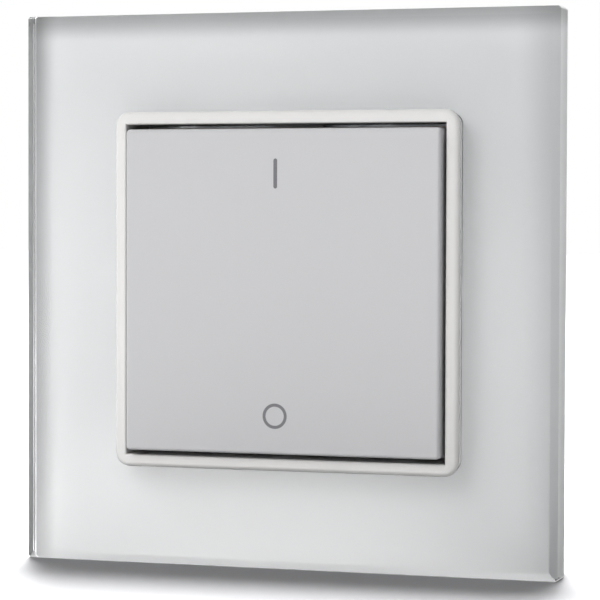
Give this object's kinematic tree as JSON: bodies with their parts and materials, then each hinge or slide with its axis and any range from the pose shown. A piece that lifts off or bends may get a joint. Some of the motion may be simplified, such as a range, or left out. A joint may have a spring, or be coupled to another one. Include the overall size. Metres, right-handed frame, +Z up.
{
  "type": "pushbutton led dimmer",
  "caption": "Flush wall dimmer for LED lamps: a sprung rocker marked I and O in a white bezel and a square back-painted glass frame, with its steel plate and wall-box insert.",
  "frame": {"origin": "on the wall's surface, at the middle of the two fixing slots left and right in the support plate", "axes": "+X to the right, +Y into the wall, +Z up; the front of the dimmer faces -Y"},
  "size_m": [0.086, 0.0374, 0.086],
  "materials": {
    "painted_glass": "clear glass, painted white on its back",
    "foam_tape": "soft acrylic foam",
    "carrier_plastic": "moulded, fine matt",
    "bezel_plastic": "satin white",
    "rocker_plastic": "fine matt, warm white",
    "slide_plastic": "natural acetal",
    "spring_steel": "bright stainless",
    "base_plastic": "moulded, matt",
    "galvanised_steel": "galvanised",
    "housing_plastic": "moulded, matt",
    "screw_steel": "zinc plated",
    "board_laminate": "solder mask",
    "component_black": "moulded epoxy",
    "component_ceramic": "ceramic",
    "powdered_iron": "coated powdered iron",
    "enamelled_copper": "enamelled wire",
    "capacitor_case": "moulded case",
    "can_aluminium": "sleeved can",
    "fuse_metal": "nickel plated caps",
    "varistor_coat": "epoxy coat",
    "pad_silicone": "soft silicone",
    "sink_aluminium": "extruded",
    "terminal_plastic": "moulded, matt",
    "terminal_brass": "nickel-free brass"
  },
  "bodies": {
    "root": {"glass_panel": "painted_glass", "adhesive_strips": "foam_tape", "frame_carrier": "carrier_plastic", "bezel": "bezel_plastic", "mechanism_base": "base_plastic", "support_plate": "galvanised_steel", "insert_housing": "housing_plastic", "housing_screws": "screw_steel", "return_spring_top": "spring_steel", "return_spring_bottom": "spring_steel", "snap_dome_top": "spring_steel", "snap_dome_bottom": "spring_steel", "control_board": "board_laminate", "control_chip": "component_black", "surface_parts": "component_ceramic", "board_connector": "component_black", "power_board": "board_laminate", "board_screws": "screw_steel", "choke_core": "powdered_iron", "choke_winding": "enamelled_copper", "film_capacitor": "capacitor_case", "bulk_capacitor": "can_aluminium", "fuse": "fuse_metal", "varistor": "varistor_coat", "mosfets": "component_black", "thermal_pad": "pad_silicone", "heat_sink": "sink_aluminium", "terminal_body": "terminal_plastic", "terminal_cages": "terminal_brass", "terminal_screws": "screw_steel"},
    "rocker": {"rocker": "rocker_plastic"},
    "plunger_top": {"plunger_top": "slide_plastic"},
    "plunger_bottom": {"plunger_bottom": "slide_plastic"}
  },
  "joints": [
    {"name": "rocker_tilt", "type": "hinge", "parent": "root", "child": "rocker", "pos_m": [0, -0.008, 0], "axis": [1, 0, 0], "range_deg": [-2.5, 2.5], "stiffness_Nm_per_rad": 1.2},
    {"name": "plunger_top_slide", "type": "slide", "parent": "root", "child": "plunger_top", "axis": [0, 1, 0], "range_m": [-0.00066, 0.00066], "deforming": ["return_spring_top", "snap_dome_top"]},
    {"name": "plunger_bottom_slide", "type": "slide", "parent": "root", "child": "plunger_bottom", "axis": [0, 1, 0], "range_m": [-0.00066, 0.00066], "deforming": ["return_spring_bottom", "snap_dome_bottom"]}
  ],
  "couplings": [
    {"joint": "plunger_top_slide", "follows": "rocker_tilt", "m_per_rad": -0.015},
    {"joint": "plunger_bottom_slide", "follows": "rocker_tilt", "m_per_rad": 0.015}
  ]
}
